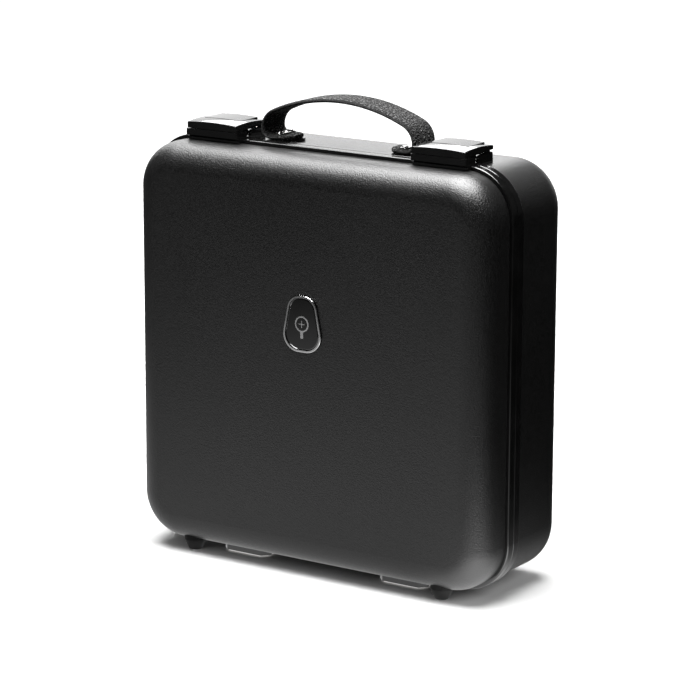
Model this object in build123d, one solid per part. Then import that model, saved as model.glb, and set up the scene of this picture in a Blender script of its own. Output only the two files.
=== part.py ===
"""Trial lens set in a moulded carrying case that stands on its feet.

Millimetres.  +X to the right, +Z up, the lid faces -Y.
While it is modelled, y is counted from the front face of the lid frame.
save() then centres the depth, so the origin is the bottom centre of the set.
"""
import os
from math import asin, cos, degrees, radians, sin

from build123d import *

# ---- driving dimensions: case ------------------------------------------------
frame_width = 370.0
frame_height = 366.5
frame_corner = 45.0
foot_lift = 5.7
wall = 3.0
lid_depth = 37.0
base_depth = 95.5
lid_edge_radius = 24.5
base_edge_radius = 23.5
lid_inset = 3.5
base_inset = 2.7
seat_clearance = 0.1

# ---- frames and seal ---------------------------------------------------------
lid_frame_depth = 7.8
parting_gap = 0.6
base_frame_depth = 8.6
shell_engagement = 4.5
frame_inner_wall = 2.6
base_frame_inner_wall = 3.2
lid_frame_bead = 1.4
base_frame_bead = 0.9
parting_chamfer = 0.4
lip_width = 1.5
lip_length = 2.4
lip_clearance = 0.5
seal_width = 2.8
seal_depth = 2.2
seal_gap = 0.3

# ---- badge -------------------------------------------------------------------
badge_height = 49.5
badge_width = 38.8
badge_top_width = 31.0
badge_top_radius = 13.5
badge_bottom_radius = 15.5
badge_centre_height = 221.0
badge_proud = 1.7
badge_rim_width = 1.9
badge_rim_round = 0.65
badge_groove = 0.6
badge_recess = 0.8
dome_edge = 0.7
emblem_radius = 7.0
emblem_band = 1.3
emblem_relief = 0.25
emblem_grip_length = 6.3
emblem_grip_width = 2.9
emblem_mark_length = 6.3
emblem_mark_width = 0.7

# ---- handle ------------------------------------------------------------------
strap_width = 35.0
strap_front = 13.0
strap_thickness = 4.0
strap_rise = 41.5
strap_half_span = 79.5
strap_arch_radius = 165.0
strap_curl_radius = 9.0
strap_tab_end = 50.0
strap_tab_radius = 14.0
clamp_centre = 64.5
clamp_length = 7.0
clamp_side = 5.0
clamp_corner = 2.4
clamp_edge = 0.45
clamp_thickness = 1.3
clamp_screw_side = 9.5
plate_margin = 1.0
plate_corner = 4.0
screw_radius = 1.6
screw_head_radius = 2.8
screw_head_height = 1.2
head_roundness = 0.6

# ---- latches -----------------------------------------------------------------
latch_side = 43.0
latch_width = 52.0
lever_front = -7.4
lever_back = 37.7
lever_front_top = 13.4
lever_crown = 14.8
lever_back_top = 13.4
lever_side_fall = 1.1
lever_front_bottom = 6.9
lever_back_bottom = 9.0
lever_skin = 1.8
lever_edge_radius = 0.9
panel_inset = 7.0
panel_front = 9.0
panel_back = 35.0
panel_front_rise = 0.1
panel_back_rise = 1.8
pivot_y = 35.2
pivot_height = 4.6
pin_radius = 1.2
running_clearance = 0.05
knuckle_wall = 1.4
lug_width = 2.6
side_clearance = 0.3
ear_width = 2.5
ear_front = 14.6
bracket_front = 10.6
bracket_floor = 1.3
claw_pin_y = 13.0
claw_pin_height = 5.1
claw_side_gap = 1.1
claw_thickness = 1.6
claw_barrel_radius = 2.2
claw_tip = -2.4
claw_top = 8.2
keeper_front = -8.3
keeper_back = 7.4
keeper_top = 6.5
keeper_side = 1.0
keeper_wall = 2.8
keeper_nose = 1.0
keeper_foot = -4.6
keeper_foot_drop = 1.2
keeper_lip_top = 3.6
keeper_well_back = 1.0
keeper_well_floor = 1.5
claw_lift = 0.4
rivet_radius = 1.8
rivet_head_radius = 2.8
rivet_head_height = 0.7
rivet_spread = 26.0
bracket_rivet_y = 25.0
keeper_rivet_y = -2.4

# ---- hinges ------------------------------------------------------------------
hinge_side = 80.0
hinge_length = 45.0
hinge_thickness = 4.0
hinge_front = -8.6
hinge_back = 31.0
hinge_end_cut = 5.8
hinge_underside = 0.9
hinge_barrel_radius = 2.1
hinge_pin_radius = 1.0
hinge_edge = 0.5
hinge_relief = 4.6
hinge_gap = 0.3
hinge_screw_inset = 11.0
hinge_cup_rim = 1.6
hinge_cup_front = 1.2
hinge_cup_lift = 0.8

# ---- feet --------------------------------------------------------------------
foot_side = 55.1
lid_foot_y = -17.0
base_foot_y = 74.0
foot_top_radius = 10.0
foot_bottom_radius = 5.9
foot_edge = 0.8
foot_collar = 10.0
foot_screw_recess = 2.4

# ---- liners and tray ---------------------------------------------------------
liner_thickness = 1.5
liner_clearance = 0.2
pad_margin = 4.8
pad_thickness = 28.0
pad_back_radius = 4.0
tray_clearance = 0.6
tray_lead = 2.5
tray_wall = 3.0
tray_back_gap = 0.3
tray_edge_margin = 2.0

# ---- trial lenses ------------------------------------------------------------
lens_diameter = 38.0
lens_rim_width = 2.2
lens_rim_thickness = 2.0
lens_glass_thickness = 1.3
lens_tab_length = 8.0
lens_tab_width = 6.0
lens_tab_thickness = 1.1
lens_front = 20.0
row_gap = 4.0
row_count = 6
slot_pitch = 8.0
slots_per_block = 18
accessory_count = 12
block_gap = 12.0
slot_width = 2.6
slot_clearance = 0.3
trough_step = 2.6
rack_cover = 2.5
rack_floor = 3.0
rack_joint = 0.2
rack_end = 5.0
first_row_margin = 4.0
bay_margin = 6.0
pinhole_radius = 0.75
slit_width = 1.0
slit_length = 22.0
accessory_thickness = 1.4

# ---- worked out from the above ------------------------------------------------
frame_bottom = foot_lift
frame_top = frame_bottom + frame_height
frame_mid = frame_bottom + frame_height / 2
half_width = frame_width / 2
lid_front = -lid_depth
parting_front = lid_frame_depth
parting_back = lid_frame_depth + parting_gap
base_frame_back = parting_back + base_frame_depth
base_shell_rim = base_frame_back - shell_engagement
lid_shell_rim = shell_engagement
lid_shell_top = frame_top - lid_inset
base_shell_top = frame_top - base_inset
lid_shell_bottom = frame_bottom + lid_inset
base_shell_bottom = frame_bottom + base_inset
depth_shift = (lid_depth + badge_proud - base_depth) / 2
badge_centre = foot_lift + badge_centre_height
hinge_axis_y = (parting_front + parting_back) / 2
hinge_axis_z = hinge_underside + hinge_barrel_radius
latch_outer = half_width - latch_side
latch_inner = latch_outer - latch_width
latch_middle = latch_outer - latch_width / 2
claw_width = latch_width - keeper_side - 2 * (ear_width + side_clearance + lug_width + claw_side_gap)
hinge_inner = half_width - hinge_side - hinge_length
hinge_outer = hinge_inner + hinge_length
foot_centre = half_width - foot_side
strap_back = strap_front + strap_width
tray_inset = base_inset + wall + seat_clearance + base_frame_inner_wall + tray_clearance
tray_back = base_depth - wall - liner_clearance - liner_thickness - tray_back_gap
pad_inset = lid_inset + wall + liner_clearance + liner_thickness + pad_margin
lens_radius = lens_diameter / 2
lens_centre_y = lens_front + lens_radius
row_pitch = lens_diameter + row_gap
rack_front = lens_centre_y - rack_cover
tray_front = rack_front - tray_lead
rack_back = lens_centre_y + lens_radius + slot_clearance + rack_floor
block_length = slots_per_block * slot_pitch
rack_half_length = block_gap / 2 + block_length + rack_end
first_row_z = frame_bottom + tray_inset + tray_wall + first_row_margin + row_pitch / 2
rows_top = first_row_z + (row_count - 0.5) * row_pitch
bay_bottom = rows_top + bay_margin
bay_top = frame_top - tray_inset - tray_wall - first_row_margin


# ---- small builders -----------------------------------------------------------
def save(name, *solids):
    placed = [Pos(0, depth_shift, 0) * solid for solid in solids]
    shape = placed[0] if len(placed) == 1 else Compound(placed)
    export_step(shape, f"parts/{name}.step")


def block(x0, x1, y0, y1, z0, z1):
    centre = Pos((x0 + x1) / 2, (y0 + y1) / 2, (z0 + z1) / 2)
    return centre * Box(x1 - x0, y1 - y0, z1 - z0)


def rod_x(x0, x1, y, z, radius):
    return Pos((x0 + x1) / 2, y, z) * Rot(0, 90, 0) * Cylinder(radius, x1 - x0)


def rod_z(x, y, z0, z1, radius):
    return Pos(x, y, (z0 + z1) / 2) * Cylinder(radius, z1 - z0)


def side_profile(points, x0, x1):
    """A polygon of (y, z) points carried from x0 to x1."""
    plane = Plane(origin=(x0, 0, 0), x_dir=(0, 1, 0), z_dir=(1, 0, 0))
    return extrude(plane * make_face(Polyline(*points, close=True)), x1 - x0)


def front_plane(y, z):
    """Faces -Y, with its x along X and its y along Z."""
    return Plane(origin=(0, y, z), x_dir=(1, 0, 0), z_dir=(0, -1, 0))


def slab(inset, y_front, y_back):
    """The case outline, drawn in by inset, from y_front to y_back."""
    width = frame_width - 2 * inset
    height = frame_height - 2 * inset
    face = RectangleRounded(width, height, frame_corner - inset)
    return extrude(front_plane(y_back, frame_mid) * face, y_back - y_front)


def ring(outer_inset, inner_inset, y_front, y_back):
    return slab(outer_inset, y_front, y_back) - slab(inner_inset, y_front - 1, y_back + 1)


def both_sides(piece):
    return [mirror(piece, Plane.YZ), piece]


def mirrored(pieces):
    return [copy for piece in pieces for copy in both_sides(piece)]


def round_front(solid, radius):
    return fillet(solid.edges().group_by(Axis.Y)[0], radius)


def round_back(solid, radius):
    return fillet(solid.edges().group_by(Axis.Y)[-1], radius)


# ---- case shells and frames -----------------------------------------------------
def lid_body(offset, y_back):
    """The closed outer form of the lid, drawn in by offset all round."""
    form = slab(lid_inset + offset, lid_front + offset, y_back)
    return round_front(form, lid_edge_radius - offset)


def base_body(offset, y_front):
    form = slab(base_inset + offset, y_front, base_depth - offset)
    return round_back(form, base_edge_radius - offset)


def lid_shell():
    shell = lid_body(0, lid_shell_rim) - lid_body(wall, lid_shell_rim + 1)
    recess = badge_form(-badge_groove, lid_front + badge_recess, lid_front - 1)
    return shell - recess - lid_fixing_holes()


def base_shell():
    shell = base_body(0, base_shell_rim) - base_body(wall, base_shell_rim - 1)
    return shell - base_fixing_holes()


def lid_frame():
    slot_outer = lid_inset - seat_clearance
    slot_inner = lid_inset + wall + seat_clearance
    inner = slot_inner + frame_inner_wall
    outer_form = slab(0, 0, parting_front)
    outer_form = round_front(outer_form, lid_frame_bead)
    outer_form = chamfer(outer_form.edges().group_by(Axis.Y)[-1], parting_chamfer)
    frame = outer_form - slab(inner, -1, parting_front + 1)
    frame -= ring(slot_outer, slot_inner, -1, lid_shell_rim)
    lip_outer = lip_start() + lip_clearance
    lip = ring(lip_outer, lip_outer + lip_width, parting_front - 1, parting_front + lip_length)
    return frame + lip


def lip_start():
    """How far in the base frame's rebate for the lid's lip begins."""
    return base_inset + wall + seat_clearance + base_frame_inner_wall / 2 - lip_clearance


def base_frame():
    slot_outer = base_inset - seat_clearance
    slot_inner = base_inset + wall + seat_clearance
    inner = slot_inner + base_frame_inner_wall
    outer_form = slab(0, parting_back, base_frame_back)
    outer_form = round_back(outer_form, base_frame_bead)
    outer_form = chamfer(outer_form.edges().group_by(Axis.Y)[0], parting_chamfer)
    frame = outer_form - slab(inner, parting_back - 1, base_frame_back + 1)
    frame -= ring(slot_outer, slot_inner, base_shell_rim, base_frame_back + 1)
    rebate_back = parting_front + lip_length + lip_clearance
    frame -= ring(lip_start(), inner + 1, parting_back - 1, rebate_back)
    frame -= ring(seal_start(), seal_start() + seal_width, parting_back - 1, seal_back())
    return frame


def seal_start():
    return base_inset + seat_clearance


def seal_back():
    return parting_front + seal_gap + seal_depth


def frame_seal():
    squeeze = seat_clearance / 2
    inner = seal_start() + seal_width - squeeze
    return ring(seal_start() + squeeze, inner, parting_front + seal_gap, seal_back())


# ---- badge ----------------------------------------------------------------------
def badge_face(inset):
    top_radius = badge_top_radius - inset
    bottom_radius = badge_bottom_radius - inset
    top_x = badge_top_width / 2 - badge_top_radius
    bottom_x = badge_width / 2 - badge_bottom_radius
    top_z = badge_height / 2 - badge_top_radius
    bottom_z = badge_bottom_radius - badge_height / 2
    circles = [
        Pos(sign * x, z) * Circle(radius)
        for x, z, radius in ((top_x, top_z, top_radius), (bottom_x, bottom_z, bottom_radius))
        for sign in (-1, 1)
    ]
    return make_hull([edge for circle in circles for edge in circle.edges()])


def badge_form(inset, y_back, y_front):
    return extrude(front_plane(y_back, badge_centre) * badge_face(inset), y_back - y_front)


def badge_rim():
    seat = lid_front + badge_recess
    rim = badge_form(0, seat, lid_front - badge_proud)
    rim = fillet(rim.edges().group_by(Axis.Y)[0], badge_rim_round)
    return rim - badge_form(badge_rim_width, seat + 1, lid_front - badge_proud - 1)


def badge_dome():
    seat = lid_front + badge_recess
    inset = badge_rim_width + seat_clearance
    dome = badge_form(inset, seat, dome_front())
    return chamfer(dome.edges().group_by(Axis.Y)[0], dome_edge, dome_edge * 2)


def dome_front():
    return lid_front - badge_proud + dome_edge / 2


def badge_emblem():
    """A framed test lens seen from the front: a band with its grip tab."""
    place = front_plane(dome_front(), badge_centre)
    band = Circle(emblem_radius) - Circle(emblem_radius - emblem_band)
    grip_place = Pos(0, -emblem_radius - emblem_grip_length / 2 + emblem_band / 2)
    grip = grip_place * RectangleRounded(emblem_grip_width, emblem_grip_length, emblem_grip_width / 3)
    mark = Rectangle(emblem_mark_length, emblem_mark_width)
    mark += Rectangle(emblem_mark_width, emblem_mark_length)
    lens_mark = extrude(place * (band + grip), emblem_relief)
    return [lens_mark, extrude(place * mark, emblem_relief)]


# ---- handle ---------------------------------------------------------------------
def strap_shoulder():
    """Where the top arch runs into the shoulder: x, height, the shoulder's radius and the slope there."""
    ratio = (strap_arch_radius + strap_curl_radius - strap_rise) / (strap_arch_radius - strap_half_span)
    x = strap_arch_radius * (ratio ** 2 - 1) / (ratio ** 2 + 1)
    slope = asin(x / strap_arch_radius)
    z = strap_rise - strap_arch_radius * (1 - cos(slope))
    radius = (strap_half_span - x) / (1 - sin(slope))
    return x, z, radius, slope


def strap_edge(inward):
    """Half of the strap's side line, from the tab's end to the top, moved inward."""
    x, z, radius, slope = strap_shoulder()
    centre_x = x - radius * sin(slope)
    centre_z = z - radius * cos(slope)
    curl_x = strap_half_span - strap_curl_radius
    curl = strap_curl_radius - inward
    shoulder = radius - inward
    arch = strap_arch_radius - inward
    arch_z = strap_rise - strap_arch_radius
    middle = radians(45)
    half = (radians(90) - slope) / 2
    tab_end = (strap_tab_end, inward)
    curl_start = (curl_x, inward)
    curl_middle = (curl_x + curl * cos(middle), strap_curl_radius - curl * sin(middle))
    curl_end = (curl_x + curl, strap_curl_radius)
    shoulder_middle = (centre_x + shoulder * cos(half), centre_z + shoulder * sin(half))
    shoulder_end = (arch * sin(slope), arch_z + arch * cos(slope))
    arch_middle = (arch * sin(slope / 2), arch_z + arch * cos(slope / 2))
    top = (0, arch_z + arch)
    return [
        Line(tab_end, curl_start),
        ThreePointArc(curl_start, curl_middle, curl_end),
        ThreePointArc(curl_end, shoulder_middle, shoulder_end),
        ThreePointArc(shoulder_end, arch_middle, top),
    ]


def handle_strap():
    outer = strap_edge(0)
    inner = strap_edge(strap_thickness)
    top = Line(outer[-1] @ 1, inner[-1] @ 1)
    end = Line(outer[0] @ 0, inner[0] @ 0)
    face = make_face(Curve() + outer + inner + [top, end])
    half = extrude(front_plane(strap_back, frame_top) * face, strap_width)
    half = fillet(half.edges().filter_by(Axis.Z).group_by(Axis.X)[-1], strap_tab_radius)
    strap = half + mirror(half, Plane.YZ)
    return strap - handle_screw_places(screw_radius + seat_clearance)


def handle_screw_places(radius):
    places = []
    for x in (-clamp_centre, clamp_centre):
        for y in (strap_front + clamp_screw_side, strap_back - clamp_screw_side):
            shank = rod_z(x, y, screw_bottom(), frame_top + strap_thickness + clamp_thickness, radius)
            places.append(shank)
    return places


def screw_bottom():
    return base_shell_top - wall + 2 * seat_clearance


def handle_plates():
    """Level the shell's top with the frame under each strap end."""
    outer = strap_half_span + plate_margin
    front = base_frame_back + seat_clearance
    plate = block(strap_tab_end - plate_margin, outer, front, strap_back + plate_margin,
                  base_shell_top, frame_top)
    plate = fillet(plate.edges().filter_by(Axis.Z).group_by(Axis.X)[0], strap_tab_radius)
    plate = fillet(plate.edges().filter_by(Axis.Z).group_by(Axis.X)[-1].sort_by(Axis.Y)[-1], plate_corner)
    drills = handle_screw_places(screw_radius + seat_clearance)
    return [piece - drills for piece in both_sides(plate)]


def handle_clamps():
    low = frame_top + strap_thickness
    half = clamp_length / 2
    clamp = block(clamp_centre - half, clamp_centre + half, strap_front + clamp_side,
                  strap_back - clamp_side, low, low + clamp_thickness)
    clamp = fillet(clamp.edges().filter_by(Axis.Z), clamp_corner)
    clamp = fillet(clamp.edges().group_by(Axis.Z)[-1], clamp_edge)
    drills = handle_screw_places(screw_radius + seat_clearance)
    return [piece - drills for piece in both_sides(clamp)]


def dome_screw(shank, radius, height, upward):
    """A low round head on the end of a shank that stands along Z."""
    box = shank.bounding_box()
    x = box.center().X
    y = box.center().Y
    if upward:
        head = rod_z(x, y, box.max.Z, box.max.Z + height, radius)
        head = fillet(head.edges().group_by(Axis.Z)[-1], height * head_roundness)
    else:
        head = rod_z(x, y, box.min.Z - height, box.min.Z, radius)
        head = fillet(head.edges().group_by(Axis.Z)[0], height * head_roundness)
    return shank + head


def handle_screws():
    shanks = handle_screw_places(screw_radius)
    return [dome_screw(shank, screw_head_radius, screw_head_height, True) for shank in shanks]


# ---- latches, modelled on the right and mirrored -----------------------------------
def bowed(lines, x0, x1):
    """A side outline carried across the lever on an arc, so that the middle stands above both sides."""
    half = latch_width / 2
    radius = (half ** 2 + lever_side_fall ** 2) / (2 * lever_side_fall)
    axis = Axis((latch_middle, 0, frame_top + lever_crown - radius), (0, 1, 0))
    sweep = 2 * degrees(asin(half / radius)) + 1
    plane = Plane(origin=(latch_middle, 0, 0), x_dir=(0, 1, 0), z_dir=(1, 0, 0))
    outline = (plane * make_face(lines)).rotate(axis, -sweep / 2)
    whole = revolve(outline, axis, sweep)
    return whole & block(x0, x1, lever_front - 1, lever_back + 1, frame_top, frame_top + 2 * lever_crown)


def lever_form(skin, drop):
    """The lever's outside, or with a skin the hollow inside it, open below."""
    front = lever_front + skin
    back = lever_back - skin
    top_front = (front, frame_top + lever_front_top - skin)
    crown = ((front + back) / 2, frame_top + lever_crown - skin)
    top_back = (back, frame_top + lever_back_top - skin)
    lines = Curve() + [
        ThreePointArc(top_front, crown, top_back),
        Polyline(top_back, (back, frame_top), (front, frame_top), top_front),
    ]
    x0 = latch_inner + skin
    x1 = latch_outer - skin
    skirt = [
        (front - 1, frame_top + lever_front_bottom - drop),
        (front - 1, frame_top + 2 * lever_crown),
        (back + 1, frame_top + 2 * lever_crown),
        (back + 1, frame_top + lever_back_bottom - drop),
    ]
    return bowed(lines, x0, x1) & side_profile(skirt, x0 - 1, x1 + 1)


def lever_panel():
    """The raised tongue on the lever's top, level with it in front and proud of it at the back."""
    lines = Polyline(
        (panel_front, frame_top + lever_back_top - lever_skin),
        (panel_front, frame_top + lever_crown + panel_front_rise),
        (panel_back, frame_top + lever_back_top + panel_back_rise),
        (panel_back, frame_top + lever_back_top - lever_skin),
        close=True,
    )
    return bowed(lines, latch_inner + panel_inset, latch_outer - panel_inset)


def lever_lugs(y, height, radius, roof):
    """A pair of lugs that reach from the lever's roof down to a cross pin."""
    first = latch_inner + ear_width + keeper_side / 2 + side_clearance
    top = roof - (lever_skin + lever_side_fall) / 2
    lugs = []
    for x0 in (first, 2 * latch_middle - first - lug_width):
        lug = block(x0, x0 + lug_width, y - radius, y + radius, frame_top + height, frame_top + top)
        lugs.append(lug + rod_x(x0, x0 + lug_width, y, frame_top + height, radius))
    return lugs


def pivot_radius():
    return pin_radius + knuckle_wall


def latch_lever():
    outside = lever_form(0, 0)
    outside = fillet(outside.faces().sort_by(Axis.Z)[-1].edges(), lever_edge_radius)
    lever = outside + lever_panel() - lever_form(lever_skin, lever_skin)
    lever += lever_lugs(pivot_y, pivot_height, pivot_radius(), lever_back_top)
    lever += lever_lugs(claw_pin_y, claw_pin_height, claw_barrel_radius, lever_crown)
    bore = pin_radius + running_clearance
    bore_start = latch_inner + lever_skin
    bore_end = latch_outer - lever_skin
    lever -= rod_x(bore_start, bore_end, pivot_y, frame_top + pivot_height, bore)
    lever -= rod_x(bore_start, bore_end, claw_pin_y, frame_top + claw_pin_height, pin_radius)
    return lever


def latch_bracket():
    floor_top = frame_top + bracket_floor
    back = pivot_y + pivot_radius() + side_clearance
    seat = base_frame_back + seat_clearance
    x0 = latch_inner + keeper_side / 2
    x1 = latch_outer - keeper_side / 2
    bracket = block(x0, x1, bracket_front, back, frame_top, floor_top)
    bracket += block(x0, x1, seat, back, base_shell_top, frame_top)
    ear = [
        (ear_front, frame_top),
        (ear_front + 2, frame_top + pivot_height + pivot_radius() - 1),
        (pivot_y, frame_top + pivot_height + pivot_radius()),
        (pivot_y + pivot_radius(), frame_top + pivot_height),
        (pivot_y + pivot_radius(), frame_top),
    ]
    for ear_x in (x0, x1 - ear_width):
        bracket += side_profile(ear, ear_x, ear_x + ear_width)
        bracket += rod_x(ear_x, ear_x + ear_width, pivot_y, frame_top + pivot_height, pivot_radius())
    bracket -= rod_x(x0 - 1, x1 + 1, pivot_y, frame_top + pivot_height, pin_radius)
    return bracket - bracket_rivet_shanks(rivet_radius + seat_clearance)


def bracket_rivet_shanks(radius):
    bottom = base_shell_top - wall + 2 * seat_clearance
    return [
        rod_z(latch_middle + sign * rivet_spread / 2, bracket_rivet_y, bottom,
              frame_top + bracket_floor, radius)
        for sign in (-1, 1)
    ]


def latch_pivot_pin():
    x0 = latch_inner + keeper_side / 2
    return rod_x(x0, 2 * latch_middle - x0, pivot_y, frame_top + pivot_height, pin_radius)


def claw_pin():
    x0 = latch_inner + ear_width / 2
    return rod_x(x0, 2 * latch_middle - x0, claw_pin_y, frame_top + claw_pin_height, pin_radius)


def latch_claw():
    """A plate inside the lever whose front edge turns down over the keeper's lip."""
    x0 = latch_middle - claw_width / 2
    x1 = latch_middle + claw_width / 2
    top = frame_top + claw_top
    tip_bottom = frame_top + keeper_lip_top + claw_lift
    barrel = claw_barrel_radius
    claw = side_profile(
        [
            (claw_tip, tip_bottom),
            (claw_tip, top),
            (claw_pin_y + barrel * 0.4, top),
            (claw_pin_y + barrel * 0.4, frame_top + claw_pin_height),
            (claw_pin_y - barrel * 0.9, frame_top + claw_pin_height),
            (claw_pin_y - barrel * 0.9, top - claw_thickness),
            (claw_tip + claw_thickness, top - claw_thickness),
            (claw_tip + claw_thickness, tip_bottom),
        ],
        x0,
        x1,
    )
    claw += rod_x(x0, x1, claw_pin_y, frame_top + claw_pin_height, barrel)
    bore = pin_radius + running_clearance
    return claw - rod_x(x0 - 1, x1 + 1, claw_pin_y, frame_top + claw_pin_height, bore)


def latch_keeper():
    """A block on the lid: its nose overhangs the shell and slopes back to its foot."""
    x0 = latch_inner - keeper_side
    x1 = latch_outer + keeper_side
    top = frame_top + keeper_top
    keeper = side_profile(
        [
            (keeper_foot, lid_shell_top),
            (keeper_foot, frame_top - keeper_foot_drop),
            (keeper_front, frame_top + keeper_nose),
            (keeper_front, top),
            (keeper_back, top),
            (keeper_back, frame_top),
            (-seat_clearance, frame_top),
            (-seat_clearance, lid_shell_top),
        ],
        x0,
        x1,
    )
    keeper = fillet(keeper.edges().filter_by(Axis.Z).group_by(Axis.Y)[0], keeper_side)
    half = claw_width / 2 + keeper_wall / 2
    pocket_front = keeper_front + keeper_wall
    keeper -= block(latch_middle - half, latch_middle + half, pocket_front, keeper_back + 1,
                    frame_top + keeper_lip_top, top + 1)
    keeper -= block(latch_middle - half, latch_middle + half, pocket_front, keeper_well_back,
                    frame_top + keeper_well_floor, top + 1)
    return keeper - keeper_rivet_shanks(rivet_radius + seat_clearance)


def keeper_rivet_shanks(radius):
    bottom = lid_shell_top - wall + 2 * seat_clearance
    return [
        rod_z(latch_middle + sign * rivet_spread / 2, keeper_rivet_y, bottom,
              frame_top + keeper_well_floor, radius)
        for sign in (-1, 1)
    ]


def riveted(shanks):
    return [dome_screw(shank, rivet_head_radius, rivet_head_height, True) for shank in shanks]


# ---- hinges, modelled on the right and mirrored --------------------------------------
def hinge_barrel(x0, x1):
    return rod_x(x0, x1, hinge_axis_y, hinge_axis_z, hinge_barrel_radius)


def hinge_plate(tip, near, grow, z0, z1):
    """A plate whose corners are cut off at the tip, drawn larger by grow all round but at the near end."""
    inward = hinge_end_cut if tip < near else -hinge_end_cut
    tip_edge = tip - grow if tip < near else tip + grow
    points = [
        (hinge_inner - grow + hinge_end_cut, tip_edge),
        (hinge_outer + grow - hinge_end_cut, tip_edge),
        (hinge_outer + grow, tip_edge + inward),
        (hinge_outer + grow, near),
        (hinge_inner - grow, near),
        (hinge_inner - grow, tip_edge + inward),
    ]
    return extrude(Pos(0, 0, z0) * make_face(Polyline(*points, close=True)), z1 - z0)


def hinge_leaf(tip, near, screw_y, shell_bottom):
    """One leaf without its knuckles, its screws let in flush."""
    leaf = hinge_plate(tip, near, 0, hinge_underside, hinge_underside + hinge_thickness)
    leaf = chamfer(leaf.faces().sort_by(Axis.Z)[0].edges(), hinge_edge)
    head_drill = screw_head_radius + seat_clearance
    heads = hinge_screw_places(screw_y, hinge_underside - 1, hinge_screw_seat(), head_drill)
    return leaf - heads - hinge_screw_shanks(screw_y, shell_bottom, screw_radius + seat_clearance)


def knuckle_stops():
    third = hinge_length / 3
    return hinge_inner + third, hinge_inner + 2 * third


def hinge_knuckle(x0, x1, near):
    low, high = sorted((near, hinge_axis_y))
    return hinge_barrel(x0, x1) + block(x0, x1, low, high, hinge_underside, hinge_underside + hinge_thickness)


def lid_leaf_near():
    return hinge_axis_y - hinge_relief + hinge_barrel_radius / 2


def hinge_leaf_lid():
    near = lid_leaf_near()
    leaf = hinge_leaf(hinge_front, near, lid_screw_y(), lid_shell_bottom)
    left, right = knuckle_stops()
    relief_start = hinge_axis_y - hinge_relief
    leaf -= block(left - hinge_gap, right + hinge_gap, relief_start, hinge_axis_y, 0, frame_bottom)
    leaf += hinge_knuckle(hinge_inner, left - hinge_gap, near)
    leaf += hinge_knuckle(right + hinge_gap, hinge_outer, near)
    return leaf - rod_x(hinge_inner - 1, hinge_outer + 1, hinge_axis_y, hinge_axis_z, hinge_pin_radius)


def hinge_leaf_base():
    near = hinge_axis_y + hinge_relief
    left, right = knuckle_stops()
    leaf = hinge_leaf(hinge_back, near, base_screw_y(), base_shell_bottom)
    leaf += hinge_knuckle(left, right, near)
    clear = hinge_pin_radius + running_clearance
    return leaf - rod_x(hinge_inner - 1, hinge_outer + 1, hinge_axis_y, hinge_axis_z, clear)


def lid_screw_y():
    return hinge_front / 2 - seat_clearance


def base_screw_y():
    return (base_frame_back + hinge_back) / 2


def hinge_screw_seat():
    return hinge_underside + screw_head_height


def hinge_screw_places(y, z0, z1, radius):
    return [
        rod_z(x, y, z0, z1, radius)
        for x in (hinge_inner + hinge_screw_inset, hinge_outer - hinge_screw_inset)
    ]


def hinge_screw_shanks(y, shell_bottom, radius):
    return hinge_screw_places(y, hinge_screw_seat(), shell_bottom + wall - 2 * seat_clearance, radius)


def hinge_block(tip, near, shell_bottom, screw_y):
    """The black cup round a leaf that spaces it from the shell."""
    cup = hinge_plate(tip + (hinge_cup_front if tip < near else -hinge_cup_front), near,
                      hinge_cup_rim, hinge_underside + hinge_cup_lift, shell_bottom)
    pocket = hinge_plate(tip, near + (1 if tip < near else -1), seat_clearance,
                         0, hinge_underside + hinge_thickness)
    return cup - pocket - hinge_screw_shanks(screw_y, shell_bottom, screw_radius + seat_clearance)


def hinge_screws(y, shell_bottom):
    shanks = hinge_screw_shanks(y, shell_bottom, screw_radius)
    return [dome_screw(shank, screw_head_radius, screw_head_height, False) for shank in shanks]


# ---- feet ------------------------------------------------------------------------
def foot(y, shell_form, shell_bottom):
    """A tapered rubber foot whose top is moulded to the shell above it."""
    cone = Pos(foot_centre, y, shell_bottom / 2) * Cone(foot_bottom_radius, foot_top_radius, shell_bottom)
    collar = rod_z(foot_centre, y, shell_bottom, shell_bottom + foot_collar, foot_top_radius)
    piece = cone + collar - shell_form - foot_screw_shank(y, shell_bottom, screw_radius + seat_clearance)
    piece -= rod_z(foot_centre, y, -1, foot_screw_recess, screw_head_radius + seat_clearance)
    return fillet(piece.edges().group_by(Axis.Z)[0].sort_by(SortBy.LENGTH)[-1], foot_edge)


def foot_screw_shank(y, shell_bottom, radius):
    return rod_z(foot_centre, y, foot_screw_recess, shell_bottom + wall - 1, radius)


def foot_screw(y, shell_bottom):
    shank = foot_screw_shank(y, shell_bottom, screw_radius)
    return dome_screw(shank, screw_head_radius, screw_head_height, False)


# ---- holes in the shells ------------------------------------------------------------
def lid_fixing_holes():
    drill = screw_radius + seat_clearance
    holes = keeper_rivet_shanks(rivet_radius + seat_clearance)
    holes += hinge_screw_shanks(lid_screw_y(), lid_shell_bottom, drill)
    holes.append(foot_screw_shank(lid_foot_y, lid_shell_bottom, drill))
    return mirrored(holes)


def base_fixing_holes():
    drill = screw_radius + seat_clearance
    holes = bracket_rivet_shanks(rivet_radius + seat_clearance)
    holes += hinge_screw_shanks(base_screw_y(), base_shell_bottom, drill)
    holes.append(foot_screw_shank(base_foot_y, base_shell_bottom, drill))
    return mirrored(holes) + handle_screw_places(drill)


# ---- liners, pad and tray ---------------------------------------------------------------
def lid_liner():
    outside = wall + liner_clearance
    edge = -liner_clearance
    return lid_body(outside, edge) - lid_body(outside + liner_thickness, edge + 1)


def base_liner():
    outside = wall + liner_clearance
    edge = base_frame_back + liner_clearance
    return base_body(outside, edge) - base_body(outside + liner_thickness, edge - 1)


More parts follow.
